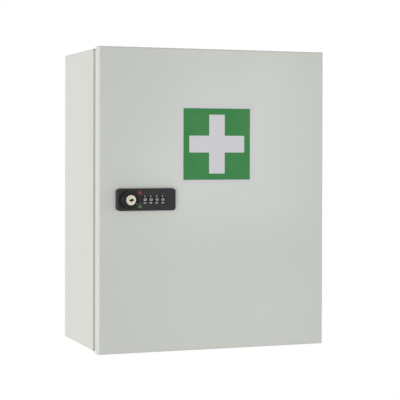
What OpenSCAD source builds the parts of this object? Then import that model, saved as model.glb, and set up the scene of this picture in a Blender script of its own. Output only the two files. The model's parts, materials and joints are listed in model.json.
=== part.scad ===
// Wall-hung steel medicine cabinet with a four-dial combination cam lock.
// Frame: X to the right, Y back to the wall, Z up; the origin is the middle of the wall face.

/* [Door and body] */
// Width of the door panel
door_w = 320; // [300:1:420]
// Height of the door panel
door_h = 400; // [360:1:520]
// Depth of the folded door pan
door_t = 15; // [14:0.5:20]
// Gap between the closed door and the front of the body
door_gap = 6.5; // [5.5:0.1:9]
// How far the body stands out past the door on each side
side_reveal = 1; // [0.5:0.1:3]
// How far the door reaches past the body at the top and at the bottom
door_overlap = 2; // [0:0.5:5]
// Depth of the body, from the wall to its front flange
body_d = 144; // [130:1:200]
// Thickness of the body sheet
body_sheet = 1; // [0.8:0.1:1.5]
// Thickness of the door sheet
door_sheet = 1; // [0.8:0.1:1.2]
// Outside radius of the folds along the body
body_bend = 2.5; // [2:0.1:4]
// Outside radius of the folds round the door's front
door_bend = 1.8; // [1.4:0.1:3]
// Width of the flange round the front of the body
flange_w = 16; // [14:0.5:18]
// Diameter of the relief at each corner of that flange
relief_d = 3; // [2:0.1:4]
// Space between the cam and the end of the gap in the left lip
lip_space = 6; // [2:0.5:12]
// Depth of the lip folded back from that flange
lip_d = 8; // [5:0.5:12]
// Width of the return folded in behind the door
return_w = 12; // [11:0.5:16]

/* [Back panel] */
// Depth of the tray edge of the back panel
tray_d = 8; // [6:0.5:12]
// Spacing of the wall holes across
wall_hole_x = 240; // [200:1:260]
// Spacing of the wall holes up
wall_hole_z = 300; // [240:1:320]
// Diameter of a wall hole
wall_hole_d = 7; // [5:0.5:9]
// Width of the raised rib in the back panel
rib_w = 14; // [10:1:20]
// How far the rib stands out from the panel
rib_rise = 2; // [1.5:0.5:4]

/* [Shelves] */
// Number of shelves
shelf_count = 2; // [1:1:3]
// Thickness of the shelf sheet
shelf_sheet = 0.8; // [0.8:0.1:1.2]
// Depth of a shelf from back to front
shelf_d = 112; // [90:1:118]
// Height of the lip along the front of a shelf
shelf_lip = 10; // [6:0.5:16]
// Side clearance of a shelf
shelf_clear = 1; // [0.5:0.1:2]
// Width of a shelf ledge
ledge_w = 10; // [6:0.5:14]
// Height of the welded leg of a ledge
ledge_h = 12; // [8:0.5:18]

/* [Hinge] */
// Height of the strip hinge
hinge_h = 360; // [300:4:360]
// Number of knuckles, shared between the two leaves
knuckles = 18; // [10:2:24]
// Thickness of the hinge strip
leaf_t = 0.8; // [0.6:0.1:1]
// Width of a hinge leaf, measured from the pin
leaf_w = 11; // [9:0.5:12]
// Diameter of the hinge pin
hinge_pin_d = 3; // [2.5:0.1:3.4]
// Gap between two knuckles
knuckle_gap = 0.4; // [0.3:0.1:1]
// Radial clearance of the door's knuckles on the pin
hinge_fit = 0.05; // [0.02:0.01:0.08]

/* [Buffers] */
// Diameter of a rubber door buffer
buffer_d = 9; // [7:0.5:11]
// Gap between a buffer and the closed door
buffer_clear = 0.4; // [0.2:0.1:1.5]
// Space between a buffer and the hinge leaf
buffer_space = 3; // [1:0.5:20]

/* [Sign] */
// Side of the white square of the first-aid sign
sign_side = 105; // [80:1:140]
// Side of the green square
sign_green = 95; // [70:1:100]
// Length of each bar of the cross
cross_len = 78.5; // [50:0.5:90]
// Width of each bar of the cross
cross_bar = 22.4; // [14:0.2:28]
// Height of the sign's middle above the middle of the door
sign_rise = 73.6; // [60:0.2:100]
// Offset of the sign's middle to the right
sign_shift = 3.9; // [-6:0.1:6]
// Thickness of the white film
sign_film = 0.3; // [0.2:0.05:0.6]
// Thickness of the green film
green_film = 0.2; // [0.1:0.05:0.4]

/* [Lock housing] */
// Length of the lock
lock_w = 80; // [78:0.5:90]
// Height of the lock
lock_h = 29; // [28:0.5:34]
// How far the lock stands out from the door
lock_t = 8.7; // [8.2:0.1:10]
// Distance of the lock from the left edge of the door
lock_inset = 23; // [20:0.5:30]
// Height of the lock's middle above the middle of the door
lock_rise = 1; // [-20:0.5:20]
// Corner radius of the lock seen from the front
lock_corner = 4.7; // [3:0.1:8]
// Radius along the front edges of the lock
lock_edge = 1.2; // [0.6:0.1:1.6]
// Wall of the lock housing
lock_wall = 1.8; // [1.5:0.1:2.2]
// Length of the end cap over the fixing screw
cap_w = 10; // [9:0.5:11]
// Width of the seams between lock pieces
seam = 0.15; // [0.1:0.05:0.3]
// Depth of the case behind the door sheet
case_d = 11; // [10:0.5:12]
// Wall of that case
case_wall = 1.5; // [1.2:0.1:2]
// Height of the case
case_h = 25; // [24.5:0.5:27]

/* [Dials] */
// Diameter of a dial wheel
dial_d = 16; // [15:0.2:16.6]
// Width of a dial wheel
dial_w = 5; // [4.6:0.1:5.2]
// Distance between two dials
dial_pitch = 8.1; // [8:0.1:8.5]
// Distance of the first dial from the left end of the lock
first_dial = 37.2; // [37:0.1:38.5]
// How far the wheels stand out of the lock's face
dial_proud = 1.6; // [1:0.1:2]
// Clearance round a wheel in its window
window_clear = 0.25; // [0.2:0.05:0.4]
// Diameter of the dial axle
axle_d = 3; // [2.4:0.1:3.4]
// Radial running clearance of sleeves, spindle, knob and plug
run_fit = 0.05; // [0.02:0.01:0.08]
// Outside diameter of a code sleeve
sleeve_d = 5.8; // [5.4:0.1:6.2]
// Clearance between a code sleeve's gated disc and the lock's front wall
disc_clear = 0.2; // [0.1:0.05:0.6]
// Thickness of the gated disc
disc_t = 0.8; // [0.6:0.05:0.9]
// Thickness of a finger of the blocking slide
finger_t = 0.8; // [0.6:0.05:0.9]
// Width of a finger of the blocking slide
finger_w = 3; // [2:0.1:3.4]
// Clearance round the fingers in the gates
gate_clear = 0.3; // [0.2:0.05:0.5]

/* [Knob and cam] */
// Distance of the knob's axis from the left end of the lock
knob_at = 14.7; // [14.2:0.1:15.2]
// Diameter of the knob at its foot
knob_d = 23; // [21:0.2:23.6]
// Diameter of the knob at its front
knob_front_d = 21; // [19:0.2:22]
// Distance of the knob's front from the door
knob_reach = 21; // [18:0.5:24]
// Number of grip flutes round the knob
knob_flutes = 24; // [12:1:30]
// Diameter of the key cylinder
cylinder_d = 13.6; // [13:0.1:15]
// Chamfer round the front of the key cylinder
key_chamfer = 0.4; // [0.2:0.1:0.8]
// Diameter of the turning key plug
plug_d = 9.8; // [9:0.1:10.6]
// Width of the keyway
keyway_w = 6.6; // [6:0.1:7]
// Height of the keyway
keyway_h = 1.9; // [1:0.1:2.4]
// How far the keyway lies to the right of the plug's axis
keyway_shift = 0.6; // [0:0.1:0.8]
// Width of a ward slot of the keyway
ward_w = 2.2; // [1.4:0.1:2.8]
// Height of the keyway over both of its ward slots
ward_h = 4.6; // [3:0.1:5.4]
// How far each ward slot lies beside the keyway's middle
ward_step = 0.6; // [0:0.1:1]
// Diameter of the spindle
spindle_d = 9; // [8:0.1:9.2]
// Side of the spindle's square end
square_side = 6; // [5:0.1:6.2]
// Travel of the blocking slide
slide_travel = 2; // [1.9:0.02:2.1]
// Length of the cam from the spindle to its tip
cam_len = 30; // [29:0.5:33]
// Width of the cam
cam_w = 12; // [10:0.5:14]
// Thickness of the cam
cam_t = 2; // [1.5:0.1:3]
// Gap between the cam and the back of the flange
cam_gap = 0.7; // [0.4:0.1:1.5]

/* [Hidden] */
// Frame
cut = 1;                                  // overshoot of a cut past the face it opens
body_w = door_w + 2 * side_reveal;
body_h = door_h - 2 * door_overlap;
flange_y = -body_d;                       // front face of the body's flange
flange_back = flange_y + body_sheet;
door_back = -body_d - door_gap;
door_front = door_back - door_t;
open_w = body_w - 2 * flange_w;
open_h = body_h - 2 * flange_w;
inner_w = body_w - 2 * body_sheet;
inner_h = body_h - 2 * body_sheet;

// Shelves
rib_x = inner_w / 4;
rib_end = 45;                             // plain panel above and below a rib
rib_len = inner_h - 2 * rib_end;
shelf_back_gap = 3;
shelf_back = -tray_d - shelf_back_gap;
shelf_front = shelf_back - shelf_d;
shelf_w = inner_w - 2 * shelf_clear;
shelf_zs = [for (i = [1:shelf_count]) -inner_h / 2 + i * inner_h / (shelf_count + 1)];
ledge_setback = 4;                        // a ledge stops short of its shelf at both ends
ledge_len = shelf_d - 2 * ledge_setback;

// Hinge
hinge_x = door_w / 2;
hinge_y = (flange_y + door_back) / 2;
barrel_r = (door_gap - leaf_t) / 2;
knuckle = hinge_h / knuckles;
leaf_root = barrel_r + 0.5;               // where the flat of a leaf starts, beside the barrel

// Lock
lock_x = -door_w / 2 + lock_inset;        // left end of the lock
lock_back = door_sheet;                   // back of the door sheet, from the door's face
face_in = lock_wall - lock_t;             // inside of the lock's front wall
cap_at = lock_w - cap_w;
tongue_t = 3.2;                           // ledge that the end cap covers
tongue_w = 6.5;
tongue_h = 16;
screw_r = 1.5;
screw_head_r = 2.8;
screw_head_t = 1.8;
cap_screw_at = cap_at + 3.4;
case_left = 2;
case_right = cap_at + 1;
ear_t = 3;
ear_w = 7;
post_at = 27.4;                           // screw posts between the knob and the dials
post_z = 8.4;
post_r = 2.4;

// Door opening behind the lock
opening_left = case_left + 3;
opening_right = case_right - 2.5;
opening_h = case_h - 3;

// Dials
dial_count = 4;
dial_r = dial_d / 2;
dial_y = -lock_t + dial_r - dial_proud;   // axis of the dials, measured from the door's face
dial_xs = [for (i = [0:dial_count - 1]) first_dial + i * dial_pitch];
last_dial = dial_xs[dial_count - 1];
side_gap = dial_pitch - dial_w;           // space between two wheels
disc_x = -dial_w / 2 - side_gap / 2;      // middle of the gated disc, from the wheel's middle
finger_x = disc_x + slide_travel / 2;     // finger with the lock open
plate_t = 1.4;
plate_left = first_dial + disc_x - side_gap / 2 - 0.3 - plate_t;
sleeve_start = disc_x - disc_t / 2;       // ends of a sleeve, from the wheel's middle
sleeve_end = sleeve_start + dial_pitch - 0.05;
plate_right = last_dial + sleeve_end + 0.05;
plate_r = 4.6;
axle_r = axle_d / 2;
sleeve_r = sleeve_d / 2;
disc_r = dial_y - face_in - disc_clear;
gate_floor = sleeve_r + 0.3;              // foot of the gate, from the dial axis
finger_tip = gate_floor + 0.2;            // tip of a finger, from the dial axis
groove_r = 0.7;
stud_r = 0.45;

// Blocking slide
slide_y = dial_y + dial_r + 0.5;          // front of the slide's bar
bar_t = 1.4;
bar_h = 6;
cam_low = spindle_d / 2 + 0.1;            // radius of the spindle's cam with the lock shut
cam_high = cam_low + slide_travel;        // and with the lock open
nose = knob_at + cam_high + 0.1;
nose_r = 1;                               // round nose that runs on that cam
bar_end = last_dial + dial_w / 2 + 0.8;
spring_r = 1.9;
spring_wire = 0.5;
spring_turns = 3;

// Knob
knob_r = knob_d / 2;
knob_front_r = knob_front_d / 2;
well_d = 0.8;                             // recess that the knob's foot turns in
well_clear = 0.7;
foot_y = -lock_t + well_d - 0.3;
hub_wall = 3;
hub_r = knob_r - hub_wall;
skirt_h = 1.6;                            // plain band round the knob's foot
knob_round = 1.5;                         // radius round the knob's front edge
flute_r = 0.9;
flute_set = 0.35;                         // how far outside the knob's foot a flute is centred
flute_from = 2.4;                         // height of a flute's end above the knob's foot
hub_end = face_in + 0.3;
head_r = hub_r + 0.9;
head_t = 1.6;
bore_end = hub_end - 3;
cylinder_r = cylinder_d / 2;
plug_r = plug_d / 2;
spindle_r = spindle_d / 2;
cam_y = flange_back + cam_gap - door_front;
case_back = lock_back + case_d;
barrel_end = cam_y - 1.2;
cam_screw_r = 2;
washer_r = 5.5;
washer_t = 1;
cap_head_r = 4;
cap_head_t = 2.8;

// ---- shared forms ----

// Upright outline with round corners, centred
module rounded(w, h, r) {
    union() {
        square([w - 2 * r, h], center = true);
        square([w, h - 2 * r], center = true);
        for (x = [-1, 1], z = [-1, 1])
            translate([x * (w / 2 - r), z * (h / 2 - r)]) circle(r, $fn = 48);
    }
}

// Extrudes an upright outline back to y = back, through the depth given
module upright(back, depth) {
    translate([0, back, 0]) rotate([90, 0, 0]) linear_extrude(depth) children();
}

// Box between two corners
module block(low, high) {
    translate(low) cube(high - low);
}

// Round bar along Y between two depths
module bar_y(r, y0, y1, faces = 64) {
    translate([0, y1, 0]) rotate([90, 0, 0]) cylinder(h = y1 - y0, r = r, $fn = faces);
}

// Round bar along X between two places
module bar_x(r, x0, x1, faces = 64) {
    translate([x0, 0, 0]) rotate([0, 90, 0]) cylinder(h = x1 - x0, r = r, $fn = faces);
}

// Outline of a folded front: square at the back, round at the two front edges
module folded_outline(w, depth, r) {
    union() {
        translate([-w / 2, r - depth]) square([w, depth - r]);
        translate([r - w / 2, -depth]) square([w - 2 * r, r + 0.01]);
        for (s = [-1, 1]) translate([s * (w / 2 - r), r - depth]) circle(r, $fn = 48);
    }
}

// Block whose four front edges are round: its back is at y = 0 and its front at -depth
module folded_block(w, h, depth, r) {
    intersection() {
        translate([0, 0, -h / 2]) linear_extrude(h) folded_outline(w, depth, r);
        translate([-w / 2, 0, 0]) rotate([0, 90, 0]) linear_extrude(w)
            folded_outline(h, depth, r);
    }
}

// Moves from the lock's own frame (its left end, the door's face, its middle) to the cabinet's
module at_lock() {
    translate([lock_x, door_front, lock_rise]) children();
}

module at_knob() {
    at_lock() translate([knob_at, 0, 0]) children();
}

module at_dial(i) {
    at_lock() translate([dial_xs[i], dial_y, 0]) children();
}

// ---- body ----

module body_shell() {
    color([0.86, 0.87, 0.85]) difference() {
        union() {
            upright(0, body_d) difference() {
                rounded(body_w, body_h, body_bend);
                rounded(inner_w, inner_h, body_bend - body_sheet);
            }
            upright(flange_back, body_sheet) difference() {
                rounded(body_w, body_h, body_bend);
                square([open_w, open_h], center = true);
            }
            upright(flange_y + lip_d, lip_d) difference() {
                square([open_w + 2 * body_sheet, open_h + 2 * body_sheet], center = true);
                square([open_w, open_h], center = true);
            }
        }
        // gap in the left lip that the cam swings through
        block([-open_w / 2 - body_sheet - cut, flange_back, lock_rise - cam_w],
              [-open_w / 2 + cut, flange_y + lip_d + cut, lock_rise + cam_len + lip_space]);
        // reliefs where the folds of the flange meet
        for (x = [-1, 1], z = [-1, 1])
            translate([x * (body_w / 2 - relief_d * 0.4), 0, z * (body_h / 2 - relief_d * 0.4)])
                bar_y(relief_d / 2, flange_y - cut, flange_back + body_sheet, 48);
    }
}

module back_panel() {
    color([0.84, 0.85, 0.83]) difference() {
        union() {
            upright(0, tray_d) difference() {
                rounded(inner_w, inner_h, body_bend - body_sheet);
                square([inner_w - 2 * body_sheet, inner_h - 2 * body_sheet], center = true);
            }
            upright(0, body_sheet) square([inner_w - body_sheet, inner_h - body_sheet], center = true);
            // ribs pressed forward out of the panel
            for (x = [-1, 1]) upright(-body_sheet, rib_rise)
                translate([x * rib_x, 0]) rounded(rib_w, rib_len, rib_w / 2 - 0.5);
        }
        for (x = [-1, 1]) upright(cut, rib_rise + cut)
            translate([x * rib_x, 0]) rounded(rib_w - 2 * body_sheet, rib_len - 2 * body_sheet,
                                              rib_w / 2 - 0.5 - body_sheet);
        for (x = [-1, 1], z = [-1, 1]) translate([x * wall_hole_x / 2, 0, z * wall_hole_z / 2])
            bar_y(wall_hole_d / 2, -body_sheet - cut, cut);
    }
}

module shelf_ledges() {
    color([0.84, 0.85, 0.83]) for (z = shelf_zs, s = [-1, 1]) {
        outer = s * inner_w / 2;
        inner = s * (inner_w / 2 - body_sheet);
        tip = s * (inner_w / 2 - ledge_w);
        translate([0, shelf_back - ledge_setback, z]) rotate([90, 0, 0]) linear_extrude(ledge_len)
            polygon([[outer, -ledge_h], [outer, 0], [tip, 0],
                     [tip, -body_sheet], [inner, -body_sheet], [inner, -ledge_h]]);
    }
}

// Shelf section from back to front: a back upstand, the flat, a front lip and its hem
module shelf_section() {
    t = shelf_sheet;
    hem = 3.5;
    polygon([[shelf_back, 0], [shelf_front, 0], [shelf_front, shelf_lip],
             [shelf_front + hem, shelf_lip], [shelf_front + hem, shelf_lip - t],
             [shelf_front + t, shelf_lip - t], [shelf_front + t, t],
             [shelf_back - t, t], [shelf_back - t, shelf_lip], [shelf_back, shelf_lip]]);
}

module shelves() {
    color([0.86, 0.87, 0.85]) for (z = shelf_zs)
        translate([-shelf_w / 2, 0, z]) rotate([90, 0, 90]) linear_extrude(shelf_w) shelf_section();
}

// Buffers on the top and bottom flanges, clear of the hinge, each with a stepped tip
module door_buffers() {
    buffer_r = buffer_d / 2;
    buffer_len = door_gap - buffer_clear;
    tip = 1;
    buffer_x = hinge_x - leaf_w - buffer_space - buffer_r;
    color([0.12, 0.12, 0.12]) for (x = [-1, 1], z = [-1, 1])
        translate([x * buffer_x, flange_y, z * (body_h - flange_w) / 2]) {
            bar_y(buffer_r, tip - buffer_len, 0);
            bar_y(buffer_r - tip, -buffer_len, tip - buffer_len);
        }
}

// ---- hinge ----

// The knuckles of one leaf: every second one, starting with the first given
module knuckle_row(first, bore_r) {
    for (k = [first:2:knuckles - 1])
        translate([hinge_x, hinge_y, k * knuckle - hinge_h / 2 + knuckle_gap / 2])
            difference() {
                cylinder(h = knuckle - knuckle_gap, r = barrel_r, $fn = 48);
                translate([0, 0, -cut])
                    cylinder(h = knuckle - knuckle_gap + 2 * cut, r = bore_r, $fn = 48);
            }
}

// Flat of a leaf with one tab to each of its knuckles; y is its back face
module leaf_flat(y, first, bore_r) {
    upright(y, leaf_t) union() {
        translate([hinge_x - leaf_w, -hinge_h / 2]) square([leaf_w - leaf_root, hinge_h]);
        for (k = [first:2:knuckles - 1])
            translate([hinge_x - leaf_root - cut, k * knuckle - hinge_h / 2 + knuckle_gap / 2])
                square([leaf_root + cut, knuckle - knuckle_gap]);
    }
}

module hinge_leaf_body() {
    color([0.83, 0.84, 0.82]) difference() {
        union() {
            leaf_flat(flange_y, 0);
            knuckle_row(0, hinge_pin_d / 2);
        }
        translate([hinge_x, hinge_y, -hinge_h / 2 - cut])
            cylinder(h = hinge_h + 2 * cut, d = hinge_pin_d, $fn = 48);
    }
}

module hinge_leaf_door() {
    color([0.83, 0.84, 0.82]) difference() {
        union() {
            leaf_flat(door_back + leaf_t, 1);
            knuckle_row(1, hinge_pin_d / 2 + hinge_fit);
        }
        translate([hinge_x, hinge_y, -hinge_h / 2 - cut])
            cylinder(h = hinge_h + 2 * cut, r = hinge_pin_d / 2 + hinge_fit, $fn = 48);
    }
}

module hinge_pin() {
    color([0.7, 0.71, 0.72]) translate([hinge_x, hinge_y, -hinge_h / 2 - 0.5])
        cylinder(h = hinge_h + 1, d = hinge_pin_d, $fn = 48);
}

// ---- door ----

module door_pan() {
    color([0.78, 0.80, 0.77]) difference() {
        union() {
            difference() {
                translate([0, door_back, 0]) folded_block(door_w, door_h, door_t, door_bend);
                translate([0, door_back + cut, 0])
                    folded_block(door_w - 2 * door_sheet, door_h - 2 * door_sheet,
                                 door_t - door_sheet + cut, door_bend - door_sheet);
            }
            upright(door_back, door_sheet) difference() {
                square([door_w - door_sheet, door_h - door_sheet], center = true);
                square([door_w - 2 * return_w, door_h - 2 * return_w], center = true);
            }
        }
        at_lock() {
            block([opening_left, -cut, -opening_h / 2],
                  [opening_right, lock_back + cut, opening_h / 2]);
            translate([cap_screw_at, 0, 0]) bar_y(screw_r + 0.3, -cut, lock_back + cut, 32);
        }
    }
}

module sign_outline(side) {
    translate([sign_shift, sign_rise]) rounded(side, side, 1.5);
}

module sign_base() {
    color([0.9, 0.9, 0.92]) upright(door_front, sign_film) sign_outline(sign_side);
}

module sign_field() {
    color([0.2, 0.55, 0.28]) upright(door_front - sign_film, green_film) difference() {
        translate([sign_shift, sign_rise]) square(sign_green, center = true);
        translate([sign_shift, sign_rise]) square([cross_len, cross_bar], center = true);
        translate([sign_shift, sign_rise]) square([cross_bar, cross_len], center = true);
    }
}

// ---- lock housing ----

// Whole outside form of the lock, in the lock's own frame
module lock_form() {
    intersection() {
        translate([lock_w / 2, 0, 0]) folded_block(lock_w, lock_h, lock_t, lock_edge);
        upright(0, lock_t) translate([lock_w / 2, 0]) rounded(lock_w, lock_h, lock_corner);
    }
}

// Hollow of the lock between two places along it
module lock_hollow(x0, x1) {
    upright(cut, lock_t - lock_wall + cut)
        translate([(x0 + x1) / 2, 0])
            rounded(x1 - x0, lock_h - 2 * lock_wall, lock_corner - lock_wall);
}

module lock_housing() {
    window = dial_w / 2 + window_clear;
    color([0.16, 0.16, 0.17]) at_lock() difference() {
        union() {
            difference() {
                intersection() {
                    lock_form();
                    block([-cut, -lock_t - cut, -lock_h], [cap_at - seam / 2, cut, lock_h]);
                }
                lock_hollow(lock_wall, cap_at - seam / 2 - lock_wall);
            }
            // ledge under the end cap
            block([cap_at - lock_wall, -tongue_t, -tongue_h / 2],
                  [cap_at + tongue_w, 0, tongue_h / 2]);
            // plates that carry the dial axle
            for (x = [plate_left, plate_right]) {
                block([x, face_in - 0.5, -plate_r], [x + plate_t, dial_y, plate_r]);
                translate([0, dial_y, 0]) bar_x(plate_r, x, x + plate_t);
            }
            // collar that keeps the first sleeve in its place
            translate([0, dial_y, 0])
                bar_x(sleeve_r, plate_left + plate_t, first_dial + sleeve_start - 0.05);
            // screw posts
            for (z = [-1, 1]) translate([post_at, 0, z * post_z])
                bar_y(post_r, face_in - 0.5, 0, 32);
        }
        // windows that follow the wheels
        for (x = dial_xs) translate([0, dial_y, 0])
            bar_x(dial_r + window_clear, x - window, x + window, 96);
        translate([knob_at, 0, 0]) {
            bar_y(hub_r + run_fit, -lock_t - cut, face_in + cut);
            bar_y(knob_r + well_clear, -lock_t - cut, -lock_t + well_d);
        }
        translate([0, dial_y, 0]) bar_x(axle_r, plate_left - cut, plate_right + plate_t + cut);
        for (z = [-1, 1]) translate([post_at, 0, z * post_z])
            bar_y(screw_r, face_in + 0.8, cut, 32);
        translate([cap_screw_at, 0, 0]) bar_y(screw_r + 0.15, -tongue_t - cut, cut, 32);
    }
}

module lock_end_cap() {
    color([0.17, 0.17, 0.19]) at_lock() difference() {
        intersection() {
            lock_form();
            block([cap_at + seam / 2, -lock_t - cut, -lock_h], [lock_w + cut, cut, lock_h]);
        }
        lock_hollow(cap_at - lock_corner, lock_w - lock_wall);
    }
}

module lock_case() {
    z = case_h / 2;
    color([0.55, 0.56, 0.57]) at_lock() difference() {
        union() {
            difference() {
                block([case_left, lock_back, -z], [case_right, case_back, z]);
                block([case_left + case_wall, lock_back - cut, case_wall - z],
                      [case_right - case_wall, case_back - case_wall, z - case_wall]);
            }
            // ear for the screw under the end cap
            block([case_right - case_wall, lock_back, -4], [case_right + ear_w, lock_back + ear_t, 4]);
            translate([knob_at, 0, 0]) bar_y(spindle_r + 2.4, case_back - case_wall, barrel_end);
            for (s = [-1, 1]) translate([post_at, 0, s * post_z])
                bar_y(post_r, 0, case_back - 0.5, 32);
        }
        translate([knob_at, 0, 0])
            bar_y(spindle_r + run_fit, case_back - case_wall - cut, barrel_end + cut);
        for (s = [-1, 1]) translate([post_at, 0, s * post_z])
            bar_y(screw_r, -cut, case_back + cut, 32);
        translate([cap_screw_at, 0, 0]) bar_y(screw_r, lock_back - cut, lock_back + ear_t + cut, 32);
    }
}

// Cross-head screw: its head lies in front of y = seat and its shank behind it
module screw(seat, length, head_r = screw_head_r, head_t = screw_head_t, r = screw_r) {
    difference() {
        union() {
            bar_y(head_r, seat - head_t, seat, 32);
            bar_y(r, seat - 0.5, seat + length, 32);
        }
        for (a = [0, 90]) rotate([0, a, 0])
            block([-head_r * 0.6, seat - head_t - cut, -0.3],
                  [head_r * 0.6, seat - head_t * 0.45, 0.3]);
    }
}

module case_screws() {
    color([0.7, 0.71, 0.72]) at_lock() for (s = [-1, 1])
        translate([post_at, 0, s * post_z]) mirror([0, 1, 0])
            screw(-case_back, case_back - face_in - 2);
}

module cap_screw() {
    color([0.7, 0.71, 0.72]) at_lock() translate([cap_screw_at, 0, 0])
        screw(-tongue_t, tongue_t + lock_back + ear_t + 1);
}

// ---- dials ----

module dial_axle() {
    color([0.7, 0.71, 0.72]) at_lock() translate([0, dial_y, 0])
        bar_x(axle_r, plate_left - 0.4, plate_right + plate_t + 0.4);
}

// Strip on the inside of the front wall, with one tongue over each wheel
module detent_spring() {
    low = dial_r + 1.1;
    color([0.74, 0.75, 0.76]) at_lock() {
        block([plate_left + plate_t + 0.5, face_in, low],
              [plate_right - 0.3, face_in + 0.35, lock_h / 2 - lock_wall - 0.6]);
        for (x = dial_xs) {
            block([x - 1.8, face_in, low], [x + 1.8, dial_y + 2, low + 0.35]);
            translate([0, dial_y, low]) bar_x(0.85, x - 1.8, x + 1.8, 32);
        }
    }
}

// Wheel with ten faces, parted by grip grooves, and ten notches for the sleeve's stud
module dial_wheel() {
    difference() {
        bar_x(dial_r, -dial_w / 2, dial_w / 2);
        bar_x(sleeve_r, -dial_w / 2 - cut, dial_w / 2 + cut);
        for (k = [0:9]) rotate([18 + 36 * k, 0, 0]) {
            translate([0, 0, dial_r + 0.25]) bar_x(groove_r, -dial_w / 2 - cut, dial_w / 2 + cut, 24);
            rotate([18, 0, 0]) translate([0, 0, sleeve_r])
                bar_x(stud_r + 0.05, -dial_w / 2 - cut, dial_w / 2 + cut, 16);
        }
    }
}

// Sleeve through the wheel: a stud keys it, and its disc has the gate for a finger
module code_sleeve() {
    difference() {
        union() {
            bar_x(sleeve_r, sleeve_start, sleeve_end);
            bar_x(disc_r, sleeve_start, sleeve_start + disc_t);
            translate([0, 0, sleeve_r]) bar_x(stud_r, -dial_w / 2, dial_w / 2, 16);
        }
        bar_x(axle_r + run_fit, sleeve_start - cut, sleeve_end + cut);
        block([sleeve_start - cut, gate_floor, -finger_w / 2 - gate_clear],
              [sleeve_start + disc_t + cut, disc_r + cut, finger_w / 2 + gate_clear]);
    }
}

// ---- blocking mechanism ----

module blocking_slide() {
    color([0.78, 0.68, 0.42]) at_lock() {
        // bar behind the wheels
        block([nose + 3, slide_y, -bar_h / 2], [bar_end, slide_y + bar_t, bar_h / 2]);
        // nose on the spindle's cam
        translate([nose + nose_r, 0, 0]) bar_y(nose_r, slide_y, slide_y + bar_t, 32);
        block([nose + nose_r, slide_y, -nose_r], [nose + 3 + 0.01, slide_y + bar_t, nose_r]);
        for (x = dial_xs)
            block([x + finger_x - finger_t / 2, dial_y + finger_tip, -finger_w / 2],
                  [x + finger_x + finger_t / 2, slide_y + 0.01, finger_w / 2]);
    }
}

// Ring of points round a helix at a given turn
function coil_ring(turn, radius, wire, length, turns, sides = 8) = [
    for (k = [0:sides - 1])
        let (a = 360 * turn, b = 360 * k / sides, r = radius + wire * cos(b))
            [length * turn / turns + wire * sin(b), r * cos(a), r * sin(a)]
];

// Coil spring along X from the origin
module coil_spring(radius, wire, length, turns) {
    sides = 8;
    steps = turns * 20;
    rings = [for (i = [0:steps]) coil_ring(i / 20, radius, wire, length, turns, sides)];
    points = [for (ring = rings) each ring];
    walls = [
        for (i = [0:steps - 1], k = [0:sides - 1])
            let (a = i * sides + k, b = i * sides + (k + 1) % sides)
                [a, b, b + sides, a + sides]
    ];
    ends = [[for (k = [sides - 1:-1:0]) k], [for (k = [0:sides - 1]) steps * sides + k]];
    polyhedron(points, concat(walls, ends));
}

module slide_spring() {
    start = bar_end + spring_wire / 2 + 0.1;
    length = case_right - case_wall - start - spring_wire / 2 - 0.05;
    color([0.74, 0.75, 0.76]) at_lock() translate([start, slide_y + bar_t / 2, 0])
        coil_spring(spring_r - spring_wire / 2, spring_wire / 2, length, spring_turns);
}

// ---- knob ----

module knob() {
    color([0.14, 0.14, 0.15]) at_knob() difference() {
        union() {
            rotate([90, 0, 0]) rotate_extrude($fn = 96) polygon(concat(
                [[0, -foot_y], [knob_r, -foot_y], [knob_r, skirt_h - foot_y]],
                [for (a = [0:15:90])
                    [knob_front_r - knob_round * (1 - cos(a)), knob_reach - knob_round * (1 - sin(a))]],
                [[0, knob_reach]]
            ));
            bar_y(hub_r, foot_y - 0.5, hub_end);
        }
        bar_y(cylinder_r, -knob_reach - cut, bore_end);
        for (k = [0:knob_flutes - 1]) rotate([0, (k + 0.5) * 360 / knob_flutes, 0])
            translate([knob_r + flute_set, 0, 0])
                bar_y(flute_r, -knob_reach - cut, foot_y - flute_from, 24);
    }
}

// Cam of the spindle: a quarter turn lets the slide's nose run down by its travel
module spindle_cam() {
    steps = 12;
    points = concat(
        [for (i = [0:steps]) let (a = 90 * i / steps, r = cam_high - slide_travel * i / steps)
            [r * cos(a), -r * sin(a)]],
        [for (a = [96:6:120]) [cam_low * cos(a), -cam_low * sin(a)]],
        [for (a = [126:9:351]) [cam_high * cos(a), -cam_high * sin(a)]]
    );
    upright(slide_y + bar_t + 0.1, bar_t + 0.2) polygon(points);
}

module knob_spindle() {
    s = square_side / 2;
    color([0.66, 0.67, 0.68]) at_knob() difference() {
        union() {
            bar_y(head_r, hub_end, hub_end + head_t);
            bar_y(spindle_r, hub_end, cam_y);
            block([-s, cam_y - cut, -s], [s, cam_y + cam_t, s]);
            spindle_cam();
        }
        bar_y(cam_screw_r, cam_y - 8, cam_y + cam_t + cut, 32);
    }
}

module key_cylinder() {
    color([0.88, 0.86, 0.79]) at_knob() difference() {
        union() {
            bar_y(cylinder_r, key_chamfer - knob_reach, bore_end);
            translate([0, key_chamfer - knob_reach, 0]) rotate([90, 0, 0])
                cylinder(h = key_chamfer, r1 = cylinder_r, r2 = cylinder_r - key_chamfer, $fn = 64);
        }
        bar_y(plug_r + run_fit, -knob_reach - cut, bore_end - 1);
    }
}

// Outline of the keyway: a flat slot with one ward slot above it and one below
module keyway_outline() {
    translate([keyway_shift, 0]) {
        square([keyway_w, keyway_h], center = true);
        for (s = [-1, 1]) translate([s * ward_step, s * ward_h / 4])
            square([ward_w, ward_h / 2], center = true);
    }
}

module key_plug() {
    keyway_end = bore_end - 3;
    color([0.88, 0.86, 0.79]) at_knob() difference() {
        bar_y(plug_r, -knob_reach - 0.2, bore_end - 1.2);
        upright(keyway_end, keyway_end + knob_reach + cut) keyway_outline();
    }
}

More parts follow.
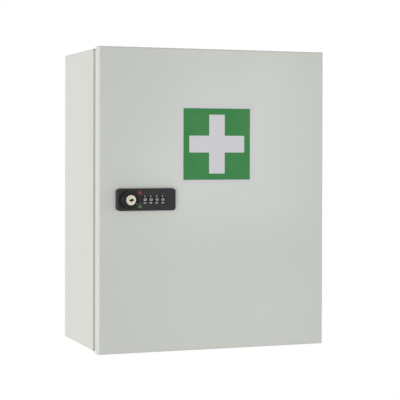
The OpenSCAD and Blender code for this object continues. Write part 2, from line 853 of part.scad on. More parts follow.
module cam() {
    s = square_side / 2;
    tip_r = cam_w / 2;
    color([0.72, 0.73, 0.74]) at_knob() difference() {
        upright(cam_y + cam_t, cam_t) union() {
            circle(spindle_r + 2.5, $fn = 64);
            translate([-tip_r, 0]) square([cam_w, cam_len - tip_r]);
            translate([0, cam_len - tip_r]) circle(tip_r, $fn = 48);
        }
        block([-s, cam_y - cut, -s], [s, cam_y + cam_t + cut, s]);
    }
}

module cam_washer() {
    color([0.72, 0.73, 0.74]) at_knob() difference() {
        bar_y(washer_r, cam_y + cam_t, cam_y + cam_t + washer_t);
        bar_y(cam_screw_r, cam_y + cam_t - cut, cam_y + cam_t + washer_t + cut, 32);
    }
}

module cam_screw() {
    seat = cam_y + cam_t + washer_t;
    color([0.7, 0.71, 0.72]) at_knob() {
        translate([0, seat + cap_head_t, 0]) rotate([90, 0, 0])
            cylinder(h = cap_head_t, r = cap_head_r, $fn = 6);
        bar_y(cam_screw_r, seat - 9, seat + 0.5, 32);
    }
}

body_shell();
back_panel();
shelf_ledges();
shelves();
door_buffers();
hinge_leaf_body();
hinge_pin();
hinge_leaf_door();
door_pan();
sign_base();
sign_field();
lock_housing();
lock_end_cap();
lock_case();
case_screws();
cap_screw();
dial_axle();
detent_spring();
for (i = [0:dial_count - 1]) {
    color([0.15, 0.15, 0.16]) at_dial(i) dial_wheel();
    color([0.78, 0.68, 0.42]) at_dial(i) code_sleeve();
}
blocking_slide();
slide_spring();
knob();
knob_spindle();
key_cylinder();
key_plug();
cam();
cam_washer();
cam_screw();
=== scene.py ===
import json
import math

import bpy
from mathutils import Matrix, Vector


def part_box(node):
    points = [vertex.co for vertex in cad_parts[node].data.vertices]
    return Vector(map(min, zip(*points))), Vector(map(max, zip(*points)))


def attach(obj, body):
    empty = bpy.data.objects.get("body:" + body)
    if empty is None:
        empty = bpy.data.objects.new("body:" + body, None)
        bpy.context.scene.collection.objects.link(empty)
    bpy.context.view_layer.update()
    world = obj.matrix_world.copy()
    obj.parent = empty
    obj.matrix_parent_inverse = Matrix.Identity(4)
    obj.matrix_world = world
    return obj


# a medicine cabinet with a combination lock: its studio, its finishes and the lock's printed marks
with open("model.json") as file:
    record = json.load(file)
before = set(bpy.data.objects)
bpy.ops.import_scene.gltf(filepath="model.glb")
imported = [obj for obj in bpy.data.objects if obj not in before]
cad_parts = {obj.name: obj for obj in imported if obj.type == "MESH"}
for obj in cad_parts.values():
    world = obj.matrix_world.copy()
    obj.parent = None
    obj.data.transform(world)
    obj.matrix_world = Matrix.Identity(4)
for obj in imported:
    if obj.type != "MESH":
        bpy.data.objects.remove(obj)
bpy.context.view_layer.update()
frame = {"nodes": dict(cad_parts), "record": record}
nodes = frame["nodes"]
mm = 0.001                      # all lengths are in metres
mergeDistance = 0.002 * mm      # vertices closer than this are the same


# camera and staging

cameraSettings = {
    "place": (-0.6345, -1.8071, 0.0679),
    "turn": (89.339, -0.130, -19.893),   # degrees about X, Y and Z
    "lens": 118.83,
    "shift": (0.0361, -0.0911),
}

floorSettings = {
    "side": 6.0,
    "height": -1.2,
    "color": (0.80, 0.80, 0.79),
    "rough": 0.7,
    "glow": 0.65,   # the share that the camera and gloss see as white
}

worldSettings = {"fill": (1.0, 0.995, 0.985), "strength": 0.25}

# aim is the point that a lamp looks at, size is its width and height in metres; the keys light the
# front and the left side, and the cards are small lamps that even out the two
lampSettings = {
    "keyFront": {"place": (-2.85, -5.13, 0.0), "aim": (-0.16, -0.12, 0.0),
                 "size": (4.2, 3.6), "watts": 176},
    "keySide": {"place": (-5.65, 1.35, 0.0), "aim": (-0.16, -0.12, 0.0),
                "size": (2.8, 3.6), "watts": 124},
    "backFill": {"place": (4.2, 3.4, 2.2), "aim": (0.0, -0.06, 0.0),
                 "size": (3.0, 3.0), "watts": 110},
    "sideCard": {"place": (-0.93, 1.5, -0.2), "aim": (-0.16, -0.07, -0.1),
                 "size": (1.0, 1.5), "watts": 1.0},
    "rightCard": {"place": (0.95, -0.95, 0.15), "aim": (0.05, -0.16, 0.1),
                  "size": (0.3, 0.6), "watts": 1.2},
    "upperCard": {"place": (1.05, -2.6, 0.23), "aim": (0.0, -0.16, 0.05),
                  "size": (0.36, 0.28), "watts": 1.0},
    "middleCard": {"place": (0.94, -2.6, -0.05), "aim": (0.0, -0.16, 0.03),
                   "size": (0.56, 0.28), "watts": 1.38},
    "lowerCard": {"place": (1.02, -2.6, -0.48), "aim": (0.0, -0.16, -0.14),
                  "size": (0.45, 0.15), "watts": 0.42},
}


def deselectAll():
    if bpy.context.object and bpy.context.object.mode != "OBJECT":
        bpy.ops.object.mode_set(mode="OBJECT")
    bpy.ops.object.select_all(action="DESELECT")


def addCamera(settings):
    deselectAll()
    turn = [math.radians(a) for a in settings["turn"]]
    bpy.ops.object.camera_add(location=settings["place"], rotation=turn)
    camera = bpy.context.object
    camera.data.sensor_fit = "HORIZONTAL"
    camera.data.lens = settings["lens"]
    camera.data.shift_x, camera.data.shift_y = settings["shift"]
    bpy.context.scene.camera = camera


def addLamp(name, settings):
    deselectAll()
    bpy.ops.object.light_add(type="AREA", location=settings["place"])
    lamp = bpy.context.object
    lamp.name = name
    lamp.data.shape = "RECTANGLE"
    lamp.data.size, lamp.data.size_y = settings["size"]
    lamp.data.energy = settings["watts"]
    lamp.visible_camera = False
    look = Vector(settings["aim"]) - Vector(settings["place"])
    lamp.rotation_euler = look.to_track_quat("-Z", "Y").to_euler()


# 1 for the rays of the camera, of gloss and of glass, and 0 for those that only light the object
def seenDirectly(tree):
    path = tree.nodes.new("ShaderNodeLightPath")
    last = path.outputs["Is Camera Ray"]
    for kind in ("Is Glossy Ray", "Is Transmission Ray"):
        either = tree.nodes.new("ShaderNodeMath")
        either.operation = "MAXIMUM"
        tree.links.new(last, either.inputs[0])
        tree.links.new(path.outputs[kind], either.inputs[1])
        last = either.outputs[0]
    return last


# white where the background is seen, and a soft fill elsewhere
def setWorld(settings):
    world = bpy.data.worlds.new("studio")
    world.use_nodes = True
    tree = world.node_tree
    tree.nodes.clear()
    fill = tree.nodes.new("ShaderNodeBackground")
    fill.inputs["Color"].default_value = (*settings["fill"], 1)
    fill.inputs["Strength"].default_value = settings["strength"]
    white = tree.nodes.new("ShaderNodeBackground")
    white.inputs["Color"].default_value = (1, 1, 1, 1)
    mix = tree.nodes.new("ShaderNodeMixShader")
    out = tree.nodes.new("ShaderNodeOutputWorld")
    tree.links.new(seenDirectly(tree), mix.inputs[0])
    tree.links.new(fill.outputs[0], mix.inputs[1])
    tree.links.new(white.outputs[0], mix.inputs[2])
    tree.links.new(mix.outputs[0], out.inputs["Surface"])
    bpy.context.scene.world = world


# pale floor that keeps its shadows; part of it shows white to the camera and in gloss
def addFloor(settings):
    deselectAll()
    bpy.ops.mesh.primitive_plane_add(size=settings["side"], location=(0, 0, settings["height"]))
    floor = bpy.context.object
    floor.name = "studioFloor"
    material = bpy.data.materials.new("studioFloor")
    material.use_nodes = True
    tree = material.node_tree
    shader = tree.nodes["Principled BSDF"]
    shader.inputs["Base Color"].default_value = (*settings["color"], 1)
    shader.inputs["Roughness"].default_value = settings["rough"]
    white = tree.nodes.new("ShaderNodeEmission")
    share = tree.nodes.new("ShaderNodeMath")
    share.operation = "MULTIPLY"
    share.inputs[1].default_value = settings["glow"]
    tree.links.new(seenDirectly(tree), share.inputs[0])
    mix = tree.nodes.new("ShaderNodeMixShader")
    tree.links.new(share.outputs[0], mix.inputs[0])
    tree.links.new(shader.outputs[0], mix.inputs[1])
    tree.links.new(white.outputs[0], mix.inputs[2])
    tree.links.new(mix.outputs[0], tree.nodes["Material Output"].inputs["Surface"])
    floor.data.materials.append(material)


bpy.context.scene.view_settings.view_transform = "Standard"
addCamera(cameraSettings)
setWorld(worldSettings)
addFloor(floorSettings)
for lampName, lampValues in lampSettings.items():
    addLamp(lampName, lampValues)
print("staging: camera, floor and %d lamps" % len(lampSettings))


# shared effects, each a node group with named inputs and outputs

effectSettings = {
    "noiseSpread": (0.3, 0.7),    # the middle of a noise's range, where nearly all of its values lie
    "fineScale": 3.1,             # of the specks in the peel, times the peel's own scale
    "fineShare": 0.25,            # how strongly they show in it
    "driftScale": 0.31,           # of the slow colour drift, times the scale of the gloss patches
    "edgeSpread": (0.35, 0.65),
    "edgeSamples": 6,
    "dustSlope": (0.6, 1.0),      # Z of the normal where dust starts to lie and where it lies fully
    "dustSpread": (0.35, 0.75),
    "rubSpread": (0.4, 0.75),
}
noiseSpread = effectSettings["noiseSpread"]


def newGroup(name, inputs, outputs):
    tree = bpy.data.node_groups.new(name, "ShaderNodeTree")
    for label, value in inputs.items():
        socket = tree.interface.new_socket(label, in_out="INPUT", socket_type="NodeSocketFloat")
        socket.default_value = value
    for label, kind in outputs.items():
        tree.interface.new_socket(label, in_out="OUTPUT", socket_type="NodeSocket" + kind)
    return tree, tree.nodes.new("NodeGroupInput"), tree.nodes.new("NodeGroupOutput")


def addNode(tree, kind, inputs=None, **values):
    node = tree.nodes.new("ShaderNode" + kind)
    for key, value in values.items():
        setattr(node, key, value)
    for key, value in (inputs or {}).items():
        if isinstance(value, bpy.types.NodeSocket):
            tree.links.new(value, node.inputs[key])
        else:
            node.inputs[key].default_value = value
    return node


def noiseAt(tree, place, scale, detail=2.0, rough=0.5):
    return addNode(tree, "TexNoise", {"Vector": place, "Scale": scale, "Detail": detail, "Roughness": rough})


def mapped(tree, value, low, high, toLow=0.0, toHigh=1.0):
    inputs = {"Value": value, "From Min": low, "From Max": high, "To Min": toLow, "To Max": toHigh}
    return addNode(tree, "MapRange", inputs).outputs["Result"]


# orange peel of a baked powder coat, its faint gloss patches and its slow colour drift
def makeCoatTexture():
    tree, given, out = newGroup(
        "coatTexture",
        {"Peel Scale": 420.0, "Patch Scale": 9.0},
        {"Height": "Float", "Gloss": "Float", "Drift": "Float"})
    place = addNode(tree, "TexCoord").outputs["Object"]
    peel = noiseAt(tree, place, given.outputs["Peel Scale"], detail=1.0, rough=0.4)
    fine = addNode(tree, "Math", {0: given.outputs["Peel Scale"], 1: effectSettings["fineScale"]},
                   operation="MULTIPLY")
    speck = noiseAt(tree, place, fine.outputs[0], detail=2.0, rough=0.6)
    height = addNode(tree, "Math", {0: speck.outputs["Fac"], 1: effectSettings["fineShare"],
                                    2: peel.outputs["Fac"]}, operation="MULTIPLY_ADD")
    gloss = noiseAt(tree, place, given.outputs["Patch Scale"], detail=3.0, rough=0.55)
    slow = addNode(tree, "Math", {0: given.outputs["Patch Scale"], 1: effectSettings["driftScale"]},
                   operation="MULTIPLY")
    drift = noiseAt(tree, place, slow.outputs[0], detail=2.0, rough=0.5)
    tree.links.new(height.outputs[0], out.inputs["Height"])
    tree.links.new(mapped(tree, gloss.outputs["Fac"], *noiseSpread), out.inputs["Gloss"])
    tree.links.new(mapped(tree, drift.outputs["Fac"], *noiseSpread), out.inputs["Drift"])
    return tree


# mask of the outside edges, broken up so that it isn't an even line
def makeEdgeMask():
    tree, given, out = newGroup(
        "edgeMask",
        {"Radius": 0.6 * mm, "Sharpness": 6.0, "Break Scale": 160.0},
        {"Mask": "Float"})
    rounded = addNode(tree, "Bevel", {"Radius": given.outputs["Radius"]},
                      samples=effectSettings["edgeSamples"])
    flat = addNode(tree, "NewGeometry")
    same = addNode(tree, "VectorMath", {0: rounded.outputs[0], 1: flat.outputs["Normal"]},
                   operation="DOT_PRODUCT")
    away = addNode(tree, "Math", {0: 1.0, 1: same.outputs["Value"]}, operation="SUBTRACT")
    strong = addNode(tree, "Math", {0: away.outputs[0], 1: given.outputs["Sharpness"]},
                     operation="MULTIPLY", use_clamp=True)
    place = addNode(tree, "TexCoord").outputs["Object"]
    spots = noiseAt(tree, place, given.outputs["Break Scale"], detail=3.0, rough=0.6)
    share = mapped(tree, spots.outputs["Fac"], *effectSettings["edgeSpread"])
    broken = addNode(tree, "Math", {0: strong.outputs[0], 1: share}, operation="MULTIPLY")
    tree.links.new(broken.outputs[0], out.inputs["Mask"])
    return tree


# thin dust that settles on faces that look up
def makeDust():
    tree, given, out = newGroup(
        "settledDust",
        {"Scale": 60.0, "Amount": 0.5},
        {"Mask": "Float"})
    facing = addNode(tree, "NewGeometry")
    split = addNode(tree, "SeparateXYZ", {0: facing.outputs["Normal"]})
    up = mapped(tree, split.outputs["Z"], *effectSettings["dustSlope"])
    place = addNode(tree, "TexCoord").outputs["Object"]
    clouds = noiseAt(tree, place, given.outputs["Scale"], detail=4.0, rough=0.65)
    share = mapped(tree, clouds.outputs["Fac"], *effectSettings["dustSpread"])
    patchy = addNode(tree, "Math", {0: up, 1: share}, operation="MULTIPLY")
    amount = addNode(tree, "Math", {0: patchy.outputs[0], 1: given.outputs["Amount"]},
                     operation="MULTIPLY", use_clamp=True)
    tree.links.new(amount.outputs[0], out.inputs["Mask"])
    return tree


# spark-eroded grain of a moulded plastic, and the rub marks that polish it
def makeMouldGrain():
    tree, given, out = newGroup(
        "mouldGrain",
        {"Grain Scale": 2600.0, "Rub Scale": 240.0},
        {"Height": "Float", "Rub": "Float"})
    place = addNode(tree, "TexCoord").outputs["Object"]
    cells = addNode(tree, "TexVoronoi", {"Vector": place, "Scale": given.outputs["Grain Scale"]})
    cloud = noiseAt(tree, place, given.outputs["Grain Scale"], detail=2.0, rough=0.6)
    height = addNode(tree, "Math", {0: cells.outputs["Distance"], 1: cloud.outputs["Fac"]}, operation="ADD")
    rub = noiseAt(tree, place, given.outputs["Rub Scale"], detail=4.0, rough=0.7)
    tree.links.new(height.outputs[0], out.inputs["Height"])
    tree.links.new(mapped(tree, rub.outputs["Fac"], *effectSettings["rubSpread"]), out.inputs["Rub"])
    return tree


# drawn or turned metal: fine lines along one axis, and the cloudy spangle of its plating
def makeMetalLines():
    tree, given, out = newGroup(
        "metalLines",
        {"Line Scale": 900.0, "Spangle Scale": 150.0, "Along X": 1.0, "Along Y": 1.0, "Along Z": 1.0},
        {"Lines": "Float", "Spangle": "Float"})
    place = addNode(tree, "TexCoord").outputs["Object"]
    stretch = addNode(tree, "CombineXYZ", {0: given.outputs["Along X"], 1: given.outputs["Along Y"],
                                           2: given.outputs["Along Z"]})
    pulled = addNode(tree, "VectorMath", {0: place, 1: stretch.outputs[0]}, operation="MULTIPLY")
    lines = noiseAt(tree, pulled.outputs[0], given.outputs["Line Scale"], detail=3.0, rough=0.6)
    spangle = noiseAt(tree, place, given.outputs["Spangle Scale"], detail=3.0, rough=0.6)
    tree.links.new(lines.outputs["Fac"], out.inputs["Lines"])
    tree.links.new(mapped(tree, spangle.outputs["Fac"], *noiseSpread), out.inputs["Spangle"])
    return tree


coatTexture = makeCoatTexture()
edgeMask = makeEdgeMask()
settledDust = makeDust()
mouldGrain = makeMouldGrain()
metalLines = makeMetalLines()
print("effects: 5 node groups")


# materials; rough is the smoothest and the dullest value of a finish, and bump its relief

def newMaterial(name):
    material = bpy.data.materials.new(name)
    material.use_nodes = True
    tree = material.node_tree
    return material, tree, tree.nodes["Principled BSDF"]


def useGroup(tree, group, **values):
    node = tree.nodes.new("ShaderNodeGroup")
    node.node_tree = group
    for label, value in values.items():
        node.inputs[label.replace("_", " ")].default_value = value
    return node


def mixColor(tree, mask, first, second):
    node = tree.nodes.new("ShaderNodeMix")
    node.data_type = "RGBA"
    tree.links.new(mask, node.inputs["Factor"])
    for socket, value in ((node.inputs["A"], first), (node.inputs["B"], second)):
        if isinstance(value, bpy.types.NodeSocket):
            tree.links.new(value, socket)
        else:
            socket.default_value = (*value, 1)
    return node.outputs["Result"]


def bumpInto(tree, shader, height, depth):
    bump = addNode(tree, "Bump", {"Height": height, "Distance": depth, "Strength": 1.0})
    tree.links.new(bump.outputs["Normal"], shader.inputs["Normal"])


paintSettings = {
    "bodyPaint": {"light": (0.650, 0.673, 0.608), "deep": (0.630, 0.653, 0.590),
                  "rough": (0.28, 0.32), "bump": 0.008 * mm},
    "doorPaint": {"light": (0.650, 0.675, 0.624), "deep": (0.630, 0.655, 0.606),
                  "rough": (0.16, 0.21), "bump": 0.012 * mm},
}

paintWear = {
    "edgeRadius": 0.7 * mm,
    "edgeSharpness": 3.0,
    "edgeShare": 0.10,        # how far the paint is rubbed towards edgeColor
    "edgeColor": (0.45, 0.46, 0.43),
    "dustScale": 45.0,
    "dustAmount": 0.10,
    "dustColor": (0.50, 0.47, 0.42),
}


def makePaint(name, settings, wear):
    material, tree, shader = newMaterial(name)
    coat = useGroup(tree, coatTexture)
    edge = useGroup(tree, edgeMask, Radius=wear["edgeRadius"], Sharpness=wear["edgeSharpness"])
    dust = useGroup(tree, settledDust, Scale=wear["dustScale"], Amount=wear["dustAmount"])
    color = mixColor(tree, coat.outputs["Drift"], settings["light"], settings["deep"])
    thin = addNode(tree, "Math", {0: edge.outputs["Mask"], 1: wear["edgeShare"]}, operation="MULTIPLY")
    color = mixColor(tree, thin.outputs[0], color, wear["edgeColor"])
    color = mixColor(tree, dust.outputs["Mask"], color, wear["dustColor"])
    tree.links.new(color, shader.inputs["Base Color"])
    smooth, dull = settings["rough"]
    rough = mapped(tree, coat.outputs["Gloss"], 0.0, 1.0, smooth, dull)
    tree.links.new(rough, shader.inputs["Roughness"])
    bumpInto(tree, shader, coat.outputs["Height"], settings["bump"])
    return material


# along is the pull of the drawn lines on X, Y and Z, small on the axis that they run along
metalSettings = {
    "zincSteel": {"light": (0.52, 0.53, 0.545), "deep": (0.40, 0.41, 0.43),
                  "rough": (0.28, 0.46), "along": (1.0, 1.0, 0.06)},
    "castZinc": {"light": (0.42, 0.43, 0.45), "deep": (0.33, 0.34, 0.36),
                 "rough": (0.42, 0.60), "along": (1.0, 1.0, 1.0)},
    "brass": {"light": (0.72, 0.56, 0.27), "deep": (0.58, 0.43, 0.19),
              "rough": (0.25, 0.42), "along": (0.06, 1.0, 1.0)},
}

metalWear = {"edgeRadius": 0.3 * mm, "edgeSharpness": 5.0, "bump": 0.006 * mm}


def makeMetal(name, settings, wear):
    material, tree, shader = newMaterial(name)
    alongX, alongY, alongZ = settings["along"]
    lines = useGroup(tree, metalLines, Along_X=alongX, Along_Y=alongY, Along_Z=alongZ)
    edge = useGroup(tree, edgeMask, Radius=wear["edgeRadius"], Sharpness=wear["edgeSharpness"])
    color = mixColor(tree, lines.outputs["Spangle"], settings["light"], settings["deep"])
    color = mixColor(tree, edge.outputs["Mask"], color, settings["light"])
    tree.links.new(color, shader.inputs["Base Color"])
    smooth, dull = settings["rough"]
    rough = mapped(tree, lines.outputs["Lines"], *noiseSpread, smooth, dull)
    tree.links.new(rough, shader.inputs["Roughness"])
    shader.inputs["Metallic"].default_value = 1.0
    bumpInto(tree, shader, lines.outputs["Lines"], wear["bump"])
    return material


plasticSettings = {
    "lockBlack": {"color": (0.0125, 0.0125, 0.014), "rubbed": (0.020, 0.020, 0.022),
                  "rough": (0.42, 0.55), "gloss": 0.29},
    "capBlack": {"color": (0.0125, 0.0125, 0.016), "rubbed": (0.020, 0.020, 0.024),
                 "rough": (0.40, 0.52), "gloss": 0.30},
    "knobBlack": {"color": (0.006, 0.006, 0.007), "rubbed": (0.011, 0.011, 0.012),
                  "rough": (0.50, 0.62), "gloss": 0.20},
}

# edgeColor and edgeShare give the plastics a painted highlight along their edges, partly rubbed wear
plasticWearAndHighlight = {
    "edgeRadius": 0.4 * mm,
    "edgeSharpness": 4.0,
    "edgeBreaks": 700.0,
    "edgeShare": 0.5,
    "edgeColor": (0.075, 0.075, 0.08),
    "bump": 0.025 * mm,
}


def makePlastic(name, settings, wear):
    material, tree, shader = newMaterial(name)
    grain = useGroup(tree, mouldGrain)
    edge = useGroup(tree, edgeMask, Radius=wear["edgeRadius"], Sharpness=wear["edgeSharpness"],
                    Break_Scale=wear["edgeBreaks"])
    color = mixColor(tree, grain.outputs["Rub"], settings["color"], settings["rubbed"])
    # painted highlight: edges lightened towards the edge colour, partly rubbed wear
    worn = addNode(tree, "Math", {0: edge.outputs["Mask"], 1: wear["edgeShare"]}, operation="MULTIPLY")
    color = mixColor(tree, worn.outputs[0], color, wear["edgeColor"])
    tree.links.new(color, shader.inputs["Base Color"])
    smooth, dull = settings["rough"]
    rough = mapped(tree, grain.outputs["Rub"], 0.0, 1.0, dull, smooth)
    tree.links.new(rough, shader.inputs["Roughness"])
    shader.inputs["Specular IOR Level"].default_value = settings["gloss"]
    bumpInto(tree, shader, grain.outputs["Height"], wear["bump"])
    return material


filmSettings = {
    "signWhite": {"light": (0.697, 0.697, 0.721), "deep": (0.682, 0.682, 0.705), "rough": (0.28, 0.36)},
    "signGreen": {"light": (0.009, 0.207, 0.031), "deep": (0.007, 0.192, 0.027), "rough": (0.26, 0.36)},
}

filmWear = {
    "peelScale": 300.0,
    "patchScale": 30.0,
    "edgeRadius": 0.5 * mm,
    "edgeSharpness": 2.0,
    "edgeBreaks": 300.0,
    "edgeShare": 0.15,
    "edgeColor": (0.55, 0.57, 0.55),
    "gloss": 0.4,
    "bump": 0.012 * mm,
}


# printed vinyl that lies on the coat, so the peel shows through it softly
def makeFilm(name, settings, wear):
    material, tree, shader = newMaterial(name)
    coat = useGroup(tree, coatTexture, Peel_Scale=wear["peelScale"], Patch_Scale=wear["patchScale"])
    edge = useGroup(tree, edgeMask, Radius=wear["edgeRadius"], Sharpness=wear["edgeSharpness"],
                    Break_Scale=wear["edgeBreaks"])
    color = mixColor(tree, coat.outputs["Drift"], settings["light"], settings["deep"])
    faded = addNode(tree, "Math", {0: edge.outputs["Mask"], 1: wear["edgeShare"]}, operation="MULTIPLY")
    color = mixColor(tree, faded.outputs[0], color, wear["edgeColor"])
    tree.links.new(color, shader.inputs["Base Color"])
    smooth, dull = settings["rough"]
    tree.links.new(mapped(tree, coat.outputs["Gloss"], 0.0, 1.0, smooth, dull), shader.inputs["Roughness"])
    shader.inputs["Specular IOR Level"].default_value = wear["gloss"]
    bumpInto(tree, shader, coat.outputs["Height"], wear["bump"])
    return material


nickelSettings = {
    "fresh": (0.56, 0.52, 0.425),
    "cloudy": (0.485, 0.45, 0.355),
    "rubbed": (0.61, 0.58, 0.49),
    # the dark keyway colour and its depth are painted shade with some grime, deepening behind the plug's
    # face
    "grimeAndShade": (0.030, 0.026, 0.020),
    "grimeAndShadeDepth": (0.1 * mm, 0.5 * mm),   # behind the plug's face, where the keyway turns dark
    "lineScale": 500.0,
    "rubScale": 420.0,
    "rough": (0.34, 0.52),
    "metallic": 0.75,
    "bump": 0.01 * mm,
}


# turned nickel, warm and cloudy from handling; behind face the keyway is painted darker with depth, painted
# shade with some oil and graphite, where face is the plug's front on the Y axis, or None where there is no
# keyway
def makeKeyNickel(name, settings, face=None):
    material, tree, shader = newMaterial(name)
    lines = useGroup(tree, metalLines, Line_Scale=settings["lineScale"])
    rub = useGroup(tree, mouldGrain, Rub_Scale=settings["rubScale"])
    color = mixColor(tree, lines.outputs["Spangle"], settings["fresh"], settings["cloudy"])
    color = mixColor(tree, rub.outputs["Rub"], color, settings["rubbed"])
    if face is not None:
        place = addNode(tree, "TexCoord").outputs["Object"]
        depth = addNode(tree, "SeparateXYZ", {0: place}).outputs["Y"]
        start, full = settings["grimeAndShadeDepth"]
        # painted shade: the keyway darkens with depth behind the plug's face, with some grime
        color = mixColor(tree, mapped(tree, depth, face + start, face + full), color, settings["grimeAndShade"])
    tree.links.new(color, shader.inputs["Base Color"])
    smooth, dull = settings["rough"]
    rough = mapped(tree, lines.outputs["Lines"], *noiseSpread, smooth, dull)
    tree.links.new(rough, shader.inputs["Roughness"])
    shader.inputs["Metallic"].default_value = settings["metallic"]
    bumpInto(tree, shader, lines.outputs["Lines"], settings["bump"])
    return material


rubberSettings = {
    "color": (0.018, 0.018, 0.018),
    "rubbed": (0.03, 0.03, 0.03),
    "rough": 0.78,
    "grainScale": 1500.0,
    "dustScale": 200.0,
    "dustAmount": 0.4,
    "dustColor": (0.12, 0.115, 0.105),
    "bump": 0.04 * mm,
}


def makeRubber(name, settings):
    material, tree, shader = newMaterial(name)
    grain = useGroup(tree, mouldGrain, Grain_Scale=settings["grainScale"])
    dust = useGroup(tree, settledDust, Scale=settings["dustScale"], Amount=settings["dustAmount"])
    color = mixColor(tree, grain.outputs["Rub"], settings["color"], settings["rubbed"])
    color = mixColor(tree, dust.outputs["Mask"], color, settings["dustColor"])
    tree.links.new(color, shader.inputs["Base Color"])
    shader.inputs["Roughness"].default_value = settings["rough"]
    bumpInto(tree, shader, grain.outputs["Height"], settings["bump"])
    return material


# by the slot that a CAD node carries
materials = {
    "body_paint": makePaint("bodyPaint", paintSettings["bodyPaint"], paintWear),
    "door_paint": makePaint("doorPaint", paintSettings["doorPaint"], paintWear),
    "bare_steel": makeMetal("zincSteel", metalSettings["zincSteel"], metalWear),
    "buffer_rubber": makeRubber("bufferRubber", rubberSettings),
    "sign_white": makeFilm("signWhite", filmSettings["signWhite"], filmWear),
    "sign_green": makeFilm("signGreen", filmSettings["signGreen"], filmWear),
    "lock_black": makePlastic("lockBlack", plasticSettings["lockBlack"], plasticWearAndHighlight),
    "lock_cast": makeMetal("castZinc", metalSettings["castZinc"], metalWear),
    "lock_brass": makeMetal("brass", metalSettings["brass"], metalWear),
    "key_nickel": makeKeyNickel("keyNickel", nickelSettings),
}

# nodes whose finish differs a little from that of their slot
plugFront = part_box("key_plug")[0][1]
ownMaterials = {
    "lock_end_cap": makePlastic("capBlack", plasticSettings["capBlack"], plasticWearAndHighlight),
    "knob": makePlastic("knobBlack", plasticSettings["knobBlack"], plasticWearAndHighlight),
    "key_plug": makeKeyNickel("plugNickel", nickelSettings, plugFront),
}


def dressNode(name, material):
    mesh = nodes[name].data
    mesh.materials.clear()
    mesh.materials.append(material)


for part in frame["record"]["subparts"]:
    dressNode(part["node"], ownMaterials.get(part["node"], materials[part["material_slot"]]))
print("materials: %d CAD nodes dressed" % len(nodes))


# printed marks: the numerals of the wheels, the two padlocks and the pointer of the knob

printSettings = {
    "numeralWhite": {"fresh": (0.82, 0.82, 0.83), "worn": (0.56, 0.56, 0.57), "rough": (0.40, 0.55)},
    "pointerGrey": {"fresh": (0.30, 0.30, 0.31), "worn": (0.20, 0.20, 0.21), "rough": (0.40, 0.55)},
    "markRed": {"fresh": (0.30, 0.020, 0.028), "worn": (0.18, 0.018, 0.022), "rough": (0.40, 0.55)},
    "markGreen": {"fresh": (0.075, 0.200, 0.040), "worn": (0.050, 0.120, 0.030), "rough": (0.40, 0.55)},
}

printWear = {
    "rubScale": 900.0,
    "edgeRadius": 0.08 * mm,
    "edgeSharpness": 3.0,
    "edgeBreaks": 2500.0,
    "wornShare": 0.5,         # how far the print goes from fresh to worn where it is rubbed most
    "bump": 0.01 * mm,
}


# printed paint, rubbed thin at its edges and here and there
def makePrint(name, settings, wear):
    material, tree, shader = newMaterial(name)
    grain = useGroup(tree, mouldGrain, Rub_Scale=wear["rubScale"])
    edge = useGroup(tree, edgeMask, Radius=wear["edgeRadius"], Sharpness=wear["edgeSharpness"],
                    Break_Scale=wear["edgeBreaks"])
    thin = addNode(tree, "Math", {0: edge.outputs["Mask"], 1: grain.outputs["Rub"]}, operation="MAXIMUM")
    worn = addNode(tree, "Math", {0: thin.outputs[0], 1: wear["wornShare"]}, operation="MULTIPLY")
    color = mixColor(tree, worn.outputs[0], settings["fresh"], settings["worn"])
    tree.links.new(color, shader.inputs["Base Color"])
    smooth, dull = settings["rough"]
    tree.links.new(mapped(tree, grain.outputs["Rub"], 0.0, 1.0, smooth, dull), shader.inputs["Roughness"])
    bumpInto(tree, shader, grain.outputs["Height"], wear["bump"])
    return material


def pick(piece):
    deselectAll()
    piece.select_set(True)
    bpy.context.view_layer.objects.active = piece


# edit mode with all of the piece selected
def editPiece(piece):
    pick(piece)
    bpy.ops.object.mode_set(mode="EDIT")
    bpy.ops.mesh.select_all(action="SELECT")


# edit mode with only what was picked in object mode, the vertices with their edges and faces
def editEnds(piece):
    bpy.context.view_layer.objects.active = piece
    bpy.ops.object.mode_set(mode="EDIT")
    bpy.ops.mesh.select_mode(type="VERT")


def finishEdit():
    bpy.ops.object.mode_set(mode="OBJECT")


# turns what is selected about an axis by the right-hand rule; without a window the operator turns back
def turnAbout(axis, degrees, centre=(0, 0, 0)):
    bpy.ops.transform.rotate(value=-math.radians(degrees), orient_axis=axis, center_override=centre)


def moveBy(x, y, z):
    bpy.ops.transform.translate(value=(x, y, z))


def middle(low, high):
    return [(a + b) / 2 for a, b in zip(low, high)]


def joinPieces(pieces, name):
    deselectAll()
    for piece in pieces:
        piece.select_set(True)
    bpy.context.view_layer.objects.active = pieces[0]
    bpy.ops.object.join()
    joined = bpy.context.object
    joined.name = joined.data.name = name
    return joined


# one flat piece whose faces all look up
def faceUp(piece):
    editPiece(piece)
    bpy.ops.mesh.remove_doubles(threshold=mergeDistance)
    bpy.ops.mesh.normals_make_consistent(inside=False)
    finishEdit()
    if piece.data.polygons[0].normal.z < 0:
        editPiece(piece)
        bpy.ops.mesh.flip_normals()
        finishEdit()


# gives a flat print its thickness, outwards from the face that it lies on
def thicken(piece, thickness):
    pick(piece)
    solid = piece.modifiers.new("thickness", "SOLIDIFY")
    solid.thickness = thickness
    solid.offset = 1.0
    bpy.ops.object.modifier_apply(modifier=solid.name)


def finishPiece(piece, material, body):
    piece.data.materials.clear()
    piece.data.materials.append(material)
    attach(piece, body)


numeralSettings = {
    "wheels": 4,
    "count": 10,              # numerals round a wheel
    "size": 4.3 * mm,         # of the font, whose figures are 0.7 of it high
    "widen": 2.05,
    "bold": 0.01 * mm,
    "curveSteps": 4,
    "strip": 0.5 * mm,        # spacing of the cuts that let a numeral follow the wheel
    "cuts": 3,                # above and below the middle one
    "sink": 0.02 * mm,
    "thickness": 0.07 * mm,
}


